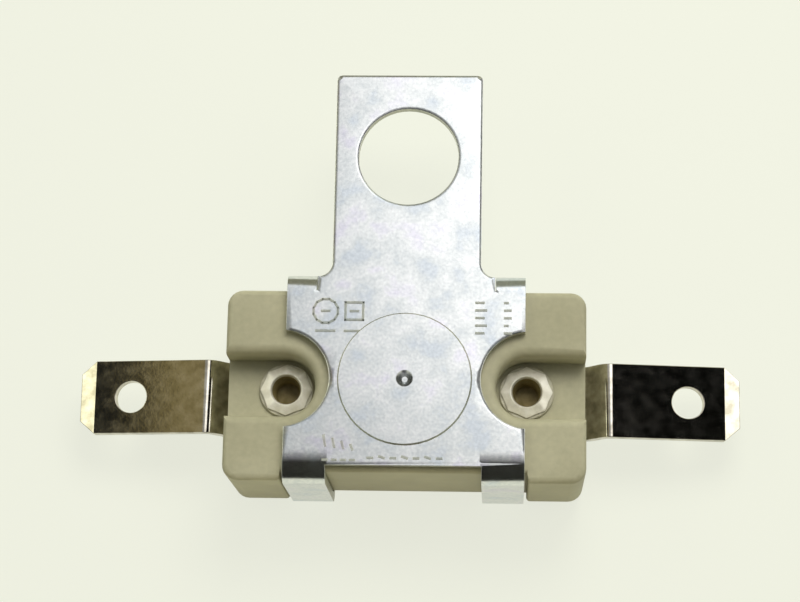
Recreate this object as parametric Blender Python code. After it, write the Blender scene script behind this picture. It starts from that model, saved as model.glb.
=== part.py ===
"""Thermal cutout with a mounting tongue: a ceramic housing, its blade terminals and a folded sheet bracket.

X runs from terminal to terminal, Y towards the tongue and Z out of the bracket's face. The pieces are
modelled about the line through the two rivets, and one empty then sets the origin at the middle of the
footprint, on the plane that the folded lugs rest on.

Across the part, the sizes are laid out from the middle: the boss sets the waist, the waist the rivets,
the rivets the chamber, the chamber the housing's ends, and those the tabs.
"""

import math

import bmesh
import bpy
from mathutils import Matrix, Vector

MM = 0.001

# Clearance between pieces that seat on each other
SEAT = 0.06 * MM
# Clearance of a piece in the hole or slot that it passes through, on each side
PASS = 0.06 * MM
# Gaps between the bracket's folded lugs and the housing's long sides
TOP_LUG_CLEARANCE = 0.45 * MM
BOTTOM_LUG_CLEARANCE = 0.2 * MM
# How far a cutter runs on past the face that it opens
OVERRUN = 1.0 * MM

# Ceramic housing
HOUSING_WIDTH = 16.2 * MM
HOUSING_DEPTH = 10.6 * MM
HOUSING_CORNER = 1.3 * MM
HOUSING_EDGE = 0.45 * MM
SLOT_DEPTH = 3.05 * MM
SLOT_EDGE = 0.85 * MM
RELIEF_DEPTH = 0.75 * MM
RELIEF_MARGIN = 0.25 * MM
RELIEF_CORNER = 0.3 * MM
CHAMBER_END_WALL = 2.34 * MM
CHAMBER_SIDE_WALL = 3.25 * MM
CHAMBER_CORNER = 1.6 * MM

# Rear cover plate
COVER_THICKNESS = 0.6 * MM
COVER_END_LEDGE = 1.0 * MM
COVER_SIDE_LEDGE = 1.4 * MM
COVER_CORNER = 1.0 * MM
COVER_EDGE = 0.1 * MM

# Folded sheet bracket
SHEET = 0.8 * MM
SHEET_EDGE = 0.24 * MM
TONGUE_WIDTH = 12.5 * MM
TONGUE_LENGTH = 17.55 * MM
TONGUE_FILLET = 1.2 * MM
TONGUE_CORNER = 0.45 * MM
TONGUE_HOLE_RADIUS = 4.25 * MM
TONGUE_HOLE_INSET = 7.25 * MM
SHOULDER_DROP = 0.25 * MM
WAIST_MARGIN = 0.65 * MM
WAIST_SHIFT = 0.24 * MM
TOP_LUG_WIDTH = 2.49 * MM
BOTTOM_LUG_WIDTH = 3.55 * MM
TOP_BEND_INSIDE = 0.4 * MM
LUG_REACH = 3.6 * MM
LUG_TIP_CHAMFER = 0.5 * MM
LUG_NOTCH_DEPTH = 0.2 * MM
LUG_NOTCH_WIDTH = 0.06 * MM
BOSS_RADIUS = 5.62 * MM
BOSS_MARGIN = 0.68 * MM
BOSS_HEIGHT = 0.2 * MM
BOSS_SLOPE = 0.12 * MM
DIMPLE_RADIUS = 0.7 * MM
DIMPLE_FLOOR_RADIUS = 0.24 * MM
DIMPLE_DEPTH = 0.5 * MM

# Blade terminals
TAB_WIDTH = 6.4 * MM
TAB_THICKNESS = 0.8 * MM
TAB_EDGE = 0.07 * MM
TAB_REACH = 13.35 * MM
TAB_RIDGE_REACH = 1.9 * MM
TAB_RIDGE_RISE = 1.7 * MM
TAB_TIP_DROP = 1.4 * MM
TAB_BEND_START = 0.4 * MM
TAB_BEND_RADIUS = 1.0 * MM
TAB_HOLE_RADIUS = 1.38 * MM
TAB_HOLE_INSET = 4.5 * MM
TAB_TIP_LENGTH = 1.35 * MM
TAB_TIP_CHAMFER = 1.15 * MM
TAB_TIP_THICKNESS = 0.42 * MM
LEFT_STRIP_REACH = 3.1 * MM
CONTACT_LAND = 0.25 * MM

# Rivets and their washers
RIVET_SHANK_RADIUS = 1.5 * MM
RIVET_BORE_RADIUS = 1.2 * MM
RIVET_BORE_FLOOR_RADIUS = 0.95 * MM
RIVET_BORE_DEPTH = 2.4 * MM
RIVET_MOUTH_RADIUS = 1.28 * MM
RIVET_MOUTH_ROUND = 0.12 * MM
RIVET_RIM_HEIGHT = 0.36 * MM
RIVET_RIM_EDGE = 0.1 * MM
RIVET_PETALS = 8
RIVET_PETAL_REACH = 0.2 * MM
# Share of the rim's height that is lost between two petals
RIVET_PETAL_VALLEY = 0.4
RIVET_HEAD_RADIUS = 2.3 * MM
RIVET_HEAD_HEIGHT = 0.7 * MM
RIVET_HEAD_ROUND = 0.27 * MM
RIVET_HEAD_MARGIN = 0.3 * MM
WASHER_RADIUS = 2.3 * MM
WASHER_THICKNESS = 0.2 * MM
WASHER_EDGE = 0.06 * MM
WASHER_MARGIN = 0.3 * MM
WASHER_SHOWN = 0.3 * MM

# Snap disc, pin and contacts
DISC_THICKNESS = 0.25 * MM
DISC_DOME = 0.15 * MM
DISC_MARGIN = 0.32 * MM
DISC_HEADROOM = 0.29 * MM
DISC_LEDGE_WIDTH = 0.7 * MM
DISC_WELL_DEPTH = 0.45 * MM
PIN_RADIUS = 0.8 * MM
PIN_EDGE = 0.12 * MM
BLADE_THICKNESS = 0.2 * MM
BLADE_ROOT_WIDTH = 4.6 * MM
BLADE_ROOT_REACH = 2.1 * MM
BLADE_TIP_WIDTH = 3.2 * MM
BLADE_TIP_REACH = 1.6 * MM
BLADE_JOGGLE = 2.8 * MM
BLADE_BEND_RADIUS = 0.5 * MM
BLADE_ROOM = 0.63 * MM
CONTACT_RADIUS = 1.25 * MM
CONTACT_THICKNESS = 0.5 * MM
CONTACT_EDGE = 0.15 * MM
CONTACT_MARGIN = 1.05 * MM

# Facets of round work
ROUND_STEPS = 48
SMALL_ROUND_STEPS = 32
INNER_ROUND_STEPS = 24
CORNER_STEPS = 6
EDGE_STEPS = 3
BEND_STEPS = 7
STRIP_BEND_STEPS = 4
DISC_RINGS = 3
BEVEL_SEGMENTS = 2
SMOOTH_ANGLE = 35
SQUARE_EDGE_ANGLE = 70

# Levels above the plane that the lugs rest on
HOUSING_BACK = SHEET + SEAT
COVER_FRONT = HOUSING_BACK + COVER_THICKNESS
BLADE_TIP_BACK = COVER_FRONT + BLADE_ROOM
BLADE_TIP_FRONT = BLADE_TIP_BACK + BLADE_THICKNESS
MOVING_CONTACT_BACK = BLADE_TIP_FRONT + SEAT
FIXED_CONTACT_BACK = MOVING_CONTACT_BACK + CONTACT_THICKNESS + SEAT
STRIP_BACK = FIXED_CONTACT_BACK + CONTACT_THICKNESS + SEAT
STRIP_FRONT = STRIP_BACK + TAB_THICKNESS
WEB_BACK = STRIP_FRONT + SEAT
BLADE_ROOT_FRONT = STRIP_BACK - SEAT
BLADE_ROOT_BACK = BLADE_ROOT_FRONT - BLADE_THICKNESS
HOUSING_FRONT = HOUSING_BACK + HOUSING_DEPTH
PLATE_BACK = HOUSING_FRONT + SEAT
PLATE_FRONT = PLATE_BACK + SHEET
SLOT_FLOOR = HOUSING_FRONT - SLOT_DEPTH
DISC_LEDGE = HOUSING_FRONT - DISC_HEADROOM - DISC_THICKNESS - DISC_DOME - SEAT
DISC_RIM_BACK = DISC_LEDGE + SEAT
PIN_BACK = BLADE_TIP_FRONT + SEAT
PIN_FRONT = DISC_RIM_BACK + DISC_DOME - SEAT

# Places along the part, from the middle to the tabs
SLOT_HALF_WIDTH = WASHER_RADIUS + WASHER_MARGIN
WAIST_RADIUS = SLOT_HALF_WIDTH + SLOT_EDGE + WAIST_MARGIN
WAIST_CENTRE_X = BOSS_RADIUS + BOSS_MARGIN + WAIST_RADIUS
RIVET_X = WAIST_CENTRE_X - WAIST_SHIFT
CHAMBER_HALF_LENGTH = RIVET_X + RIVET_HEAD_RADIUS + RIVET_HEAD_MARGIN
COVER_HALF_LENGTH = CHAMBER_HALF_LENGTH + COVER_END_LEDGE
HOUSING_HALF_LENGTH = CHAMBER_HALF_LENGTH + CHAMBER_END_WALL
TAB_RIDGE_X = HOUSING_HALF_LENGTH + TAB_RIDGE_REACH
TAB_TIP_X = HOUSING_HALF_LENGTH + TAB_REACH
TAB_HOLE_X = TAB_TIP_X - TAB_HOLE_INSET
CONTACT_X = RIVET_X - RIVET_HEAD_RADIUS - CONTACT_MARGIN - CONTACT_RADIUS
LEFT_STRIP_END_X = RIVET_X - LEFT_STRIP_REACH
RIGHT_STRIP_END_X = CONTACT_X - CONTACT_RADIUS - CONTACT_LAND
TONGUE_HALF = TONGUE_WIDTH / 2
SHOULDER_HALF = TONGUE_HALF + TONGUE_FILLET + LUG_NOTCH_WIDTH + TOP_LUG_WIDTH

# Places up the part
HOUSING_HALF_WIDTH = HOUSING_WIDTH / 2
CHAMBER_HALF_WIDTH = HOUSING_HALF_WIDTH - CHAMBER_SIDE_WALL
COVER_HALF_WIDTH = CHAMBER_HALF_WIDTH + COVER_SIDE_LEDGE
TOP_LUG_FACE = HOUSING_HALF_WIDTH + TOP_LUG_CLEARANCE + SHEET
BOTTOM_LUG_FACE = -(HOUSING_HALF_WIDTH - RELIEF_DEPTH + BOTTOM_LUG_CLEARANCE + SHEET)
TONGUE_TOP = TOP_LUG_FACE + TONGUE_LENGTH
TONGUE_HOLE_Y = TONGUE_TOP - TONGUE_HOLE_INSET
BRACKET_Y = RELIEF_DEPTH / 2
FOOTPRINT_Y = (TONGUE_TOP + BOTTOM_LUG_FACE) / 2

# Radii that follow from their neighbours
TOP_BEND_RADIUS = TOP_BEND_INSIDE + SHEET
BOTTOM_BEND_RADIUS = HOUSING_EDGE + BOTTOM_LUG_CLEARANCE + SHEET
DISC_RADIUS = BOSS_RADIUS - DISC_MARGIN
RIVET_RIM_RADIUS = WASHER_RADIUS - WASHER_SHOWN


def clear_scene():
    for item in list(bpy.data.objects):
        bpy.data.objects.remove(item, do_unlink=True)


def finish_material(name, colour, metallic, roughness):
    material = bpy.data.materials.new(name)
    material.use_nodes = True
    shader = material.node_tree.nodes["Principled BSDF"]
    shader.inputs["Base Color"].default_value = (*colour, 1.0)
    shader.inputs["Metallic"].default_value = metallic
    shader.inputs["Roughness"].default_value = roughness
    material.diffuse_color = (*colour, 1.0)
    return material


def make_object(name, bm, material=None):
    """An object from a bmesh, with its round faces shaded smooth."""
    mesh = bpy.data.meshes.new(name)
    bm.to_mesh(mesh)
    bm.free()
    mesh.shade_smooth()
    mesh.set_sharp_from_angle(angle=math.radians(SMOOTH_ANGLE))
    made = bpy.data.objects.new(name, mesh)
    bpy.context.scene.collection.objects.link(made)
    if material:
        mesh.materials.append(material)
    return made


def arc(centre_x, centre_y, radius, start, end, steps):
    """Points of an arc, with its angles in degrees."""
    angles = [math.radians(start + (end - start) * i / steps) for i in range(steps + 1)]
    return [(centre_x + radius * math.cos(a), centre_y + radius * math.sin(a)) for a in angles]


def circle(centre_y, radius, steps):
    """Points round a full circle that is centred on the part's middle line."""
    return arc(0.0, centre_y, radius, 0, 360, steps)[:-1]


def rounded_rectangle(half_x, half_y, corner, inset=0.0):
    """A rectangle about the origin with round corners, pulled in by the inset."""
    x, y = half_x - corner, half_y - corner
    points = []
    for sign_x, sign_y, start in ((1, 1, 0), (-1, 1, 90), (-1, -1, 180), (1, -1, 270)):
        points += arc(sign_x * x, sign_y * y, corner - inset, start, start + 90, CORNER_STEPS)
    return points


def edge_round(radius, low, high):
    """Pairs of inset and height that round the two rims of a block between two heights."""
    turns = [math.radians(90 * i / EDGE_STEPS) for i in range(EDGE_STEPS + 1)]
    lower = [(radius * (1 - math.sin(t)), low + radius * (1 - math.cos(t))) for t in turns]
    upper = [(inset, low + high - z) for inset, z in reversed(lower)]
    return lower + upper


def loft(name, rings, material=None):
    """A closed body skinned over rings of equally many points, with a flat cap on each end ring."""
    bm = bmesh.new()
    loops = [[bm.verts.new(point) for point in ring] for ring in rings]
    count = len(loops[0])
    for low, high in zip(loops, loops[1:]):
        for i in range(count):
            j = (i + 1) % count
            bm.faces.new((low[i], low[j], high[j], high[i]))
    bm.faces.new(loops[0])
    bm.faces.new(loops[-1])
    bmesh.ops.recalc_face_normals(bm, faces=bm.faces)
    return make_object(name, bm, material)


def prism(name, outline, low, high):
    """An outline drawn out straight between two heights."""
    return loft(name, [[(x, y, z) for x, y in outline] for z in (low, high)])


def turned(name, profile, steps, centre=(0.0, 0.0), shape_at=None, material=None):
    """A profile of radius and height turned about Z. It is closed by the axis or by its own ends.

    shape_at changes a radius and height by the angle, for work that isn't quite round.
    """
    bm = bmesh.new()
    columns = []
    on_axis = {}
    for step in range(steps):
        angle = 2 * math.pi * step / steps
        column = []
        for index, (radius, z) in enumerate(profile):
            if radius == 0.0:
                if index not in on_axis:
                    on_axis[index] = bm.verts.new((centre[0], centre[1], z))
                column.append(on_axis[index])
                continue
            reach, height = shape_at(radius, z, angle) if shape_at else (radius, z)
            x = centre[0] + reach * math.cos(angle)
            y = centre[1] + reach * math.sin(angle)
            column.append(bm.verts.new((x, y, height)))
        columns.append(column)
    is_ring = profile[0][0] > 0.0
    spans = len(profile) if is_ring else len(profile) - 1
    for step in range(steps):
        here, there = columns[step], columns[(step + 1) % steps]
        for i in range(spans):
            j = (i + 1) % len(profile)
            corners = [here[i], there[i], there[j], here[j]]
            corners = [v for k, v in enumerate(corners) if v not in corners[:k]]
            bm.faces.new(corners)
    bmesh.ops.recalc_face_normals(bm, faces=bm.faces)
    return make_object(name, bm, material)


def cylinder_profile(radius, low, high, edge=0.0):
    """The half section of a cylinder, with a rounded rim where an edge is given."""
    if edge == 0.0:
        return [(0.0, low), (radius, low), (radius, high), (0.0, high)]
    rims = [(radius - inset, z) for inset, z in edge_round(edge, low, high)]
    return [(0.0, low), *rims, (0.0, high)]


def drill(name, radius, low, high, centre, steps=SMALL_ROUND_STEPS):
    """A plain round cutter between two heights."""
    return turned(name, cylinder_profile(radius, low, high), steps, centre)


def cut(target, cutter):
    """Cuts the cutter from the target and keeps it as a guide."""
    cutter.hide_render = True
    cutter.display_type = "WIRE"
    modifier = target.modifiers.new(f"cut {cutter.name}", "BOOLEAN")
    modifier.operation = "DIFFERENCE"
    modifier.solver = "EXACT"
    modifier.object = cutter


def ease_edges(target, width):
    """Rounds off the square edges of a stamped piece."""
    modifier = target.modifiers.new("edge", "BEVEL")
    modifier.width = width
    modifier.segments = BEVEL_SEGMENTS
    modifier.limit_method = "ANGLE"
    modifier.angle_limit = math.radians(SQUARE_EDGE_ANGLE)


# Ceramic housing


def slot_outline(side, spread):
    """A slot's outline, open past the housing's end, widened all round by the spread."""
    reach = SLOT_HALF_WIDTH + spread
    past_end = HOUSING_HALF_LENGTH + OVERRUN
    round_end = arc(-RIVET_X, 0.0, reach, 90, -90, ROUND_STEPS // 2)
    outline = [(-past_end, reach), *round_end, (-past_end, -reach)]
    return [(-side * x, y) for x, y in outline]


def slot_cutter(name, side):
    """The slot's hollow: straight walls, opening out in a round edge at the housing's front."""
    levels = [(0.0, SLOT_FLOOR)]
    steps = EDGE_STEPS + 1
    for turn in (math.radians(90 * step / steps) for step in range(steps + 1)):
        spread = SLOT_EDGE * (1 - math.cos(turn))
        levels.append((spread, HOUSING_FRONT - SLOT_EDGE * (1 - math.sin(turn))))
    levels.append((SLOT_EDGE, HOUSING_FRONT + OVERRUN))
    rings = [[(x, y, z) for x, y in slot_outline(side, spread)] for spread, z in levels]
    return loft(name, rings)


def strip_slot_cutter(name, side):
    """The slit that a terminal's strip passes through, from the chamber out past the housing's end."""
    inner = side * (CHAMBER_HALF_LENGTH - OVERRUN)
    outer = side * (HOUSING_HALF_LENGTH + OVERRUN)
    half_width = TAB_WIDTH / 2 + PASS
    outline = [(inner, -half_width), (outer, -half_width), (outer, half_width), (inner, half_width)]
    return prism(name, outline, STRIP_BACK - PASS, STRIP_FRONT + PASS)


def housing_outline(inset):
    """The housing seen from the front, pulled in by the inset, with the relief for the lower lugs."""
    corner_x = HOUSING_HALF_LENGTH - HOUSING_CORNER
    corner_y = HOUSING_HALF_WIDTH - HOUSING_CORNER
    radius = HOUSING_CORNER - inset
    side_x = SHOULDER_HALF + RELIEF_MARGIN
    turn_x = side_x + RELIEF_CORNER
    edge_y = -(HOUSING_HALF_WIDTH - inset)
    turn_y = edge_y + RELIEF_CORNER
    relief_y = edge_y + RELIEF_DEPTH
    return [
        *arc(corner_x, corner_y, radius, 0, 90, CORNER_STEPS),
        *arc(-corner_x, corner_y, radius, 90, 180, CORNER_STEPS),
        *arc(-corner_x, -corner_y, radius, 180, 270, CORNER_STEPS),
        *arc(-turn_x, turn_y, RELIEF_CORNER, 270, 360, CORNER_STEPS // 2),
        (-side_x, relief_y),
        (side_x, relief_y),
        *arc(turn_x, turn_y, RELIEF_CORNER, 180, 270, CORNER_STEPS // 2),
        *arc(corner_x, -corner_y, radius, 270, 360, CORNER_STEPS),
    ]


def make_housing(material):
    rings = []
    for inset, z in edge_round(HOUSING_EDGE, HOUSING_BACK, HOUSING_FRONT):
        rings.append([(x, y, z) for x, y in housing_outline(inset)])
    housing = loft("housing", rings, material)
    for side, word in ((-1, "left"), (1, "right")):
        cut(housing, slot_cutter(f"slot_cutter_{word}", side))
    behind = HOUSING_BACK - OVERRUN
    chamber = rounded_rectangle(CHAMBER_HALF_LENGTH, CHAMBER_HALF_WIDTH, CHAMBER_CORNER)
    cut(housing, prism("chamber_cutter", chamber, behind, WEB_BACK))
    rebate = rounded_rectangle(COVER_HALF_LENGTH + PASS, COVER_HALF_WIDTH + PASS, COVER_CORNER + PASS)
    cut(housing, prism("cover_rebate_cutter", rebate, behind, COVER_FRONT + SEAT))
    for side, word in ((-1, "left"), (1, "right")):
        low, high = WEB_BACK - OVERRUN, SLOT_FLOOR + OVERRUN
        centre = (side * RIVET_X, 0.0)
        cut(housing, drill(f"rivet_hole_cutter_{word}", RIVET_SHANK_RADIUS + PASS, low, high, centre))
        cut(housing, strip_slot_cutter(f"strip_slot_cutter_{word}", side))
    centre = (0.0, BRACKET_Y)
    seat_top = HOUSING_FRONT + OVERRUN
    cut(housing, drill("disc_seat_cutter", DISC_RADIUS + PASS, DISC_LEDGE, seat_top, centre, ROUND_STEPS))
    well_radius = DISC_RADIUS - DISC_LEDGE_WIDTH
    well_floor = DISC_LEDGE - DISC_WELL_DEPTH
    well_top = DISC_LEDGE + OVERRUN / 2
    cut(housing, drill("disc_well_cutter", well_radius, well_floor, well_top, centre))
    bore_top = well_floor + OVERRUN / 2
    cut(housing, drill("pin_bore_cutter", PIN_RADIUS + PASS, WEB_BACK - OVERRUN, bore_top, centre))
    return housing


def make_rear_cover(material):
    rings = []
    for inset, z in edge_round(COVER_EDGE, HOUSING_BACK, COVER_FRONT):
        outline = rounded_rectangle(COVER_HALF_LENGTH, COVER_HALF_WIDTH, COVER_CORNER, inset)
        rings.append([(x, y, z) for x, y in outline])
    return loft("rear_cover", rings, material)


# Folded sheet bracket


def right_outline():
    """The flat sheet's right half, in two parts: up to the waist's top end, and on to the tongue's top.

    Each part starts with the two corners that a lug is folded from.
    """
    bottom = BOTTOM_LUG_FACE + BOTTOM_BEND_RADIUS
    top = TOP_LUG_FACE - TOP_BEND_RADIUS
    open_angle = math.degrees(math.acos((WAIST_CENTRE_X - SHOULDER_HALF) / WAIST_RADIUS))
    start, end = 180 + open_angle, 180 - open_angle
    waist = arc(WAIST_CENTRE_X, BRACKET_Y, WAIST_RADIUS, start, end, ROUND_STEPS // 2)
    fillet_x = TONGUE_HALF + TONGUE_FILLET
    fillet_bottom = TOP_LUG_FACE - SHOULDER_DROP
    fillet = arc(fillet_x, fillet_bottom + TONGUE_FILLET, TONGUE_FILLET, 270, 180, CORNER_STEPS)
    corner_x = TONGUE_HALF - TONGUE_CORNER
    corner = arc(corner_x, TONGUE_TOP - TONGUE_CORNER, TONGUE_CORNER, 0, 90, CORNER_STEPS // 2)
    lower = [(SHOULDER_HALF - BOTTOM_LUG_WIDTH, bottom), (SHOULDER_HALF, bottom), *waist]
    upper = [
        (SHOULDER_HALF, top),
        (SHOULDER_HALF - TOP_LUG_WIDTH, top),
        (SHOULDER_HALF - TOP_LUG_WIDTH, top - LUG_NOTCH_DEPTH),
        (fillet_x, top - LUG_NOTCH_DEPTH),
        *fillet,
        *corner,
    ]
    return lower, upper


def lug_path(sign):
    """The outer face of a lug from the sheet's front round to its tip, as places in Y and Z."""
    face = TOP_LUG_FACE if sign > 0 else BOTTOM_LUG_FACE
    radius = TOP_BEND_RADIUS if sign > 0 else BOTTOM_BEND_RADIUS
    middle = face - sign * radius
    front_bend = arc(0.0, PLATE_FRONT - radius, radius, 90, 0, BEND_STEPS)
    back_bend = arc(0.0, radius, radius, 0, -90, BEND_STEPS)
    path = [(middle + sign * y, z) for y, z in front_bend + back_bend]
    path.append((face - sign * (LUG_REACH - LUG_TIP_CHAMFER), 0.0))
    path.append((face - sign * LUG_REACH, 0.0))
    return path


def add_lug(bm, first, second, sign):
    """Skins one lug from its two corners on the flat sheet."""
    path = lug_path(sign)
    previous = (first, second)
    centre_x = (first.co.x + second.co.x) / 2
    for index, (y, z) in enumerate(path[1:], start=1):
        narrow = LUG_TIP_CHAMFER if index == len(path) - 1 else 0.0
        row = []
        for corner in (first, second):
            inward = math.copysign(narrow, centre_x - corner.co.x)
            row.append(bm.verts.new((corner.co.x + inward, y, z)))
        bm.faces.new((previous[0], previous[1], row[1], row[0]))
        previous = row


def add_loop(bm, points, z):
    corners = [bm.verts.new((x, y, z)) for x, y in points]
    edges = [bm.edges.new((a, b)) for a, b in zip(corners, corners[1:] + corners[:1])]
    return corners, edges


def make_bracket(material):
    """One sheet: its front is laid out flat, the lugs and boss are formed, and it gets its thickness."""
    lower, upper = right_outline()
    half = lower + upper
    outline = half + [(-x, y) for x, y in reversed(half)]
    bm = bmesh.new()
    corners, edges = add_loop(bm, outline, PLATE_FRONT)
    edges += add_loop(bm, circle(TONGUE_HOLE_Y, TONGUE_HOLE_RADIUS, ROUND_STEPS), PLATE_FRONT)[1]
    foot, foot_edges = add_loop(bm, circle(BRACKET_Y, BOSS_RADIUS, ROUND_STEPS), PLATE_FRONT)
    edges += foot_edges
    bmesh.ops.triangle_fill(bm, use_beauty=True, use_dissolve=False, edges=edges, normal=(0, 0, 1))
    brow_circle = circle(BRACKET_Y, BOSS_RADIUS - BOSS_SLOPE, ROUND_STEPS)
    brow = [bm.verts.new((x, y, PLATE_FRONT + BOSS_HEIGHT)) for x, y in brow_circle]
    for i in range(ROUND_STEPS):
        j = (i + 1) % ROUND_STEPS
        bm.faces.new((foot[i], foot[j], brow[j], brow[i]))
    crown = bm.faces.new(brow)
    for start, sign in ((0, -1), (len(lower), 1)):
        add_lug(bm, corners[start], corners[start + 1], sign)
        add_lug(bm, corners[-1 - start], corners[-2 - start], sign)
    bmesh.ops.recalc_face_normals(bm, faces=bm.faces)
    if crown.normal.z < 0:
        bmesh.ops.reverse_faces(bm, faces=bm.faces)
    bracket = make_object("bracket", bm, material)
    thickness = bracket.modifiers.new("sheet", "SOLIDIFY")
    thickness.thickness = SHEET
    thickness.offset = -1.0
    thickness.use_even_offset = True
    floor = PLATE_FRONT + BOSS_HEIGHT - DIMPLE_DEPTH
    above = floor + 2 * DIMPLE_DEPTH
    dimple = [
        (0.0, floor),
        (DIMPLE_FLOOR_RADIUS, floor),
        (2 * DIMPLE_RADIUS - DIMPLE_FLOOR_RADIUS, above),
        (0.0, above),
    ]
    cut(bracket, turned("dimple_cutter", dimple, SMALL_ROUND_STEPS, (0.0, BRACKET_Y)))
    ease_edges(bracket, SHEET_EDGE)
    return bracket


# Strips that follow a bent path


def bent_path(points, radius):
    """A path in X and Z with its corners rounded, as places with the path's direction at each."""
    places = [Vector(p) for p in points]
    stations = [(places[0], (places[1] - places[0]).normalized())]
    for before, corner, after in zip(places, places[1:], places[2:]):
        come, go = (corner - before).normalized(), (after - corner).normalized()
        turn = come.angle_signed(go)
        setback = radius * math.tan(abs(turn) / 2)
        start = corner - come * setback
        side = Vector((come.y, -come.x)) * math.copysign(radius, turn)
        centre = start + side
        for i in range(STRIP_BEND_STEPS + 1):
            rotation = Matrix.Rotation(-turn * i / STRIP_BEND_STEPS, 2)
            stations.append((centre - rotation @ side, rotation @ come))
    stations.append((places[-1], (places[-1] - places[-2]).normalized()))
    return stations


def strip_ring(place, direction, half_width, half_thickness, mirror):
    """A strip's rectangular section at one place of its path."""
    normal = Vector((-direction.y, direction.x))
    low, high = place - normal * half_thickness, place + normal * half_thickness
    corners = ((low, -1), (low, 1), (high, 1), (high, -1))
    return [(mirror * p.x, sign * half_width, p.y) for p, sign in corners]


def make_terminal(name, side, inner_end, material):
    """A strip from inside the housing to the tab's tip, drawn for the right and mirrored for the left."""
    level = STRIP_FRONT - TAB_THICKNESS / 2
    ridge_level = level + TAB_RIDGE_RISE
    path = [
        (inner_end, level),
        (HOUSING_HALF_LENGTH + TAB_BEND_START, level),
        (TAB_RIDGE_X, ridge_level),
        (TAB_TIP_X, ridge_level - TAB_TIP_DROP),
    ]
    stations = bent_path(path, TAB_BEND_RADIUS)
    tip, direction = stations[-1]
    shoulder = tip - direction * TAB_TIP_LENGTH
    half_width, half_thickness = TAB_WIDTH / 2, TAB_THICKNESS / 2
    rings = [strip_ring(p, d, half_width, half_thickness, side) for p, d in stations[:-1]]
    rings.append(strip_ring(shoulder, direction, half_width, half_thickness, side))
    rings.append(strip_ring(tip, direction, half_width - TAB_TIP_CHAMFER, TAB_TIP_THICKNESS / 2, side))
    terminal = loft(name, rings, material)
    slope = math.atan2(TAB_TIP_DROP, TAB_TIP_X - TAB_RIDGE_X)
    hole_level = ridge_level - (TAB_HOLE_X - TAB_RIDGE_X) * math.tan(slope)
    hole_reach = 2 * TAB_THICKNESS
    hole = drill(f"tab_hole_cutter_{name}", TAB_HOLE_RADIUS, -hole_reach, hole_reach, (0.0, 0.0))
    hole.location = (side * TAB_HOLE_X, 0.0, hole_level)
    hole.rotation_euler = (0.0, side * slope, 0.0)
    cut(terminal, hole)
    low, high = STRIP_BACK - TAB_THICKNESS, STRIP_FRONT + TAB_THICKNESS
    shank_hole = RIVET_SHANK_RADIUS + PASS
    cut(terminal, drill(f"strip_hole_cutter_{name}", shank_hole, low, high, (side * RIVET_X, 0.0)))
    ease_edges(terminal, TAB_EDGE)
    return terminal


def make_blade(material):
    """The spring blade: flat under the left rivet, stepped back past the pin, and flat at the contact."""
    root_level = BLADE_ROOT_FRONT - BLADE_THICKNESS / 2
    tip_level = BLADE_TIP_FRONT - BLADE_THICKNESS / 2
    root_x = -RIVET_X - BLADE_ROOT_REACH
    joggle_x = -RIVET_X + RIVET_HEAD_RADIUS + RIVET_HEAD_MARGIN
    tip_x = CONTACT_X + BLADE_TIP_REACH
    path = [
        (root_x, root_level),
        (joggle_x, root_level),
        (joggle_x + BLADE_JOGGLE, tip_level),
        (tip_x, tip_level),
    ]
    rings = []
    for place, direction in bent_path(path, BLADE_BEND_RADIUS):
        share = (place.x - root_x) / (tip_x - root_x)
        width = BLADE_ROOT_WIDTH + (BLADE_TIP_WIDTH - BLADE_ROOT_WIDTH) * share
        rings.append(strip_ring(place, direction, width / 2, BLADE_THICKNESS / 2, 1))
    blade = loft("contact_blade", rings, material)
    low, high = BLADE_ROOT_BACK - BLADE_THICKNESS, BLADE_ROOT_FRONT + BLADE_THICKNESS
    cut(blade, drill("blade_hole_cutter", RIVET_SHANK_RADIUS + PASS, low, high, (-RIVET_X, 0.0)))
    return blade


# Turned and pressed small pieces


def make_rivet(name, side, grip_back, material):
    """A tubular rivet from its rear head to its rim, which is flared in petals over the washer."""
    head_front = grip_back - SEAT
    head_back = head_front - RIVET_HEAD_HEIGHT
    rim_back = SLOT_FLOOR + SEAT + WASHER_THICKNESS + SEAT
    rim_front = rim_back + RIVET_RIM_HEIGHT
    edge, mouth, head = RIVET_RIM_EDGE, RIVET_MOUTH_ROUND, RIVET_HEAD_ROUND
    crest = RIVET_MOUTH_RADIUS + mouth
    bore_floor = rim_front - RIVET_BORE_DEPTH
    profile = [
        (0.0, head_back),
        *arc(RIVET_HEAD_RADIUS - head, head_back + head, head, -90, 0, EDGE_STEPS),
        (RIVET_HEAD_RADIUS, head_front),
        (RIVET_SHANK_RADIUS, head_front),
        (RIVET_SHANK_RADIUS, rim_back),
        *arc(RIVET_RIM_RADIUS - edge, rim_back + edge, edge, -90, 75, EDGE_STEPS),
        *arc(crest, rim_front - mouth, mouth, 90, 180, EDGE_STEPS),
        (RIVET_BORE_RADIUS, rim_back),
        (RIVET_BORE_FLOOR_RADIUS, bore_floor),
        (0.0, bore_floor),
    ]

    def petals(radius, z, angle):
        if z < rim_back or radius <= crest:
            return radius, z
        share = (radius - crest) / (RIVET_RIM_RADIUS - crest)
        valley = share * abs(math.sin(RIVET_PETALS * angle / 2))
        reach = radius + RIVET_PETAL_REACH * (share - valley)
        return reach, rim_back + (z - rim_back) * (1 - RIVET_PETAL_VALLEY * valley)

    return turned(name, profile, ROUND_STEPS, (side * RIVET_X, 0.0), petals, material)


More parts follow.
